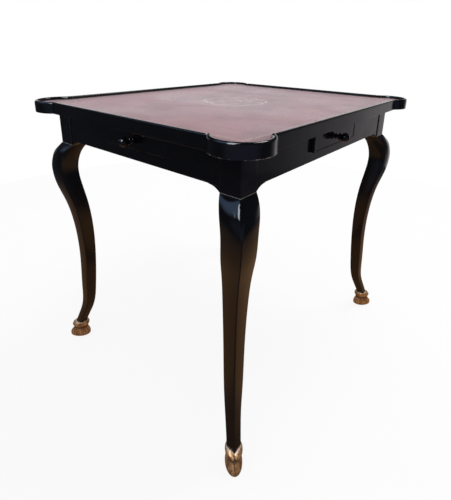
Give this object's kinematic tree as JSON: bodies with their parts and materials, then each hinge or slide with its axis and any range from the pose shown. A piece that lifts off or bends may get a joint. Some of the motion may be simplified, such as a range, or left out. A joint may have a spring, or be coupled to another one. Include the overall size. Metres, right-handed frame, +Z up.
{
  "type": "mahjong table with drawers",
  "caption": "Rectangular black lacquered mahjong table with round corners, a recessed leather playing surface, cabriole legs on gilt hoof feet, and a small drawer in each side.",
  "frame": {"origin": "on the floor under the centre of the table", "axes": "+Z up, +Y along the longer side, +X across the table"},
  "size_m": [0.738, 0.858, 0.76],
  "materials": {
    "black_lacquer": "glossy black lacquer, slightly worn at edges",
    "red_leather": "polished burgundy leather with faint gilt tooling",
    "gilt_bronze": "gilt bronze with brown patina in the hollows",
    "bare_beech": "bare hardwood, lightly waxed",
    "steel_screws": "plain steel"
  },
  "bodies": {
    "table": {"top_panel": "black_lacquer", "playing_surface": "red_leather", "rim_front": "black_lacquer", "rim_right": "black_lacquer", "rim_back": "black_lacquer", "rim_left": "black_lacquer", "turret_rim_front_right": "black_lacquer", "turret_rim_back_right": "black_lacquer", "turret_rim_back_left": "black_lacquer", "turret_rim_front_left": "black_lacquer", "apron_front": "black_lacquer", "apron_right": "black_lacquer", "apron_back": "black_lacquer", "apron_left": "black_lacquer", "leg_front_right": "black_lacquer", "leg_back_right": "black_lacquer", "leg_back_left": "black_lacquer", "leg_front_left": "black_lacquer", "hoof_front_right": "gilt_bronze", "hoof_back_right": "gilt_bronze", "hoof_back_left": "gilt_bronze", "hoof_front_left": "gilt_bronze", "hoof_pins": "gilt_bronze", "knee_brackets_front_right": "black_lacquer", "knee_brackets_back_right": "black_lacquer", "knee_brackets_back_left": "black_lacquer", "knee_brackets_front_left": "black_lacquer", "corner_blocks": "bare_beech", "top_screws": "steel_screws", "drawer_runners_front": "bare_beech", "drawer_runners_right": "bare_beech", "drawer_runners_back": "bare_beech", "drawer_runners_left": "bare_beech", "drawer_stops": "bare_beech"},
    "drawer_front": {"drawer_front_front": "black_lacquer", "drawer_front_side_left": "bare_beech", "drawer_front_side_right": "bare_beech", "drawer_front_back": "bare_beech", "drawer_front_bottom": "bare_beech", "drawer_front_knob": "black_lacquer"},
    "drawer_right": {"drawer_right_front": "black_lacquer", "drawer_right_side_left": "bare_beech", "drawer_right_side_right": "bare_beech", "drawer_right_back": "bare_beech", "drawer_right_bottom": "bare_beech", "drawer_right_knob": "black_lacquer"},
    "drawer_back": {"drawer_back_front": "black_lacquer", "drawer_back_side_left": "bare_beech", "drawer_back_side_right": "bare_beech", "drawer_back_back": "bare_beech", "drawer_back_bottom": "bare_beech", "drawer_back_knob": "black_lacquer"},
    "drawer_left": {"drawer_left_front": "black_lacquer", "drawer_left_side_left": "bare_beech", "drawer_left_side_right": "bare_beech", "drawer_left_back": "bare_beech", "drawer_left_bottom": "bare_beech", "drawer_left_knob": "black_lacquer"}
  },
  "joints": [
    {"name": "drawer_front_slide", "type": "slide", "parent": "table", "child": "drawer_front", "axis": [0, -1, 0], "range_m": [0, 0.14]},
    {"name": "drawer_right_slide", "type": "slide", "parent": "table", "child": "drawer_right", "axis": [1, 0, 0], "range_m": [-0.009, 0.131]},
    {"name": "drawer_back_slide", "type": "slide", "parent": "table", "child": "drawer_back", "axis": [0, 1, 0], "range_m": [0, 0.14]},
    {"name": "drawer_left_slide", "type": "slide", "parent": "table", "child": "drawer_left", "axis": [-1, 0, 0], "range_m": [0, 0.14]}
  ]
}
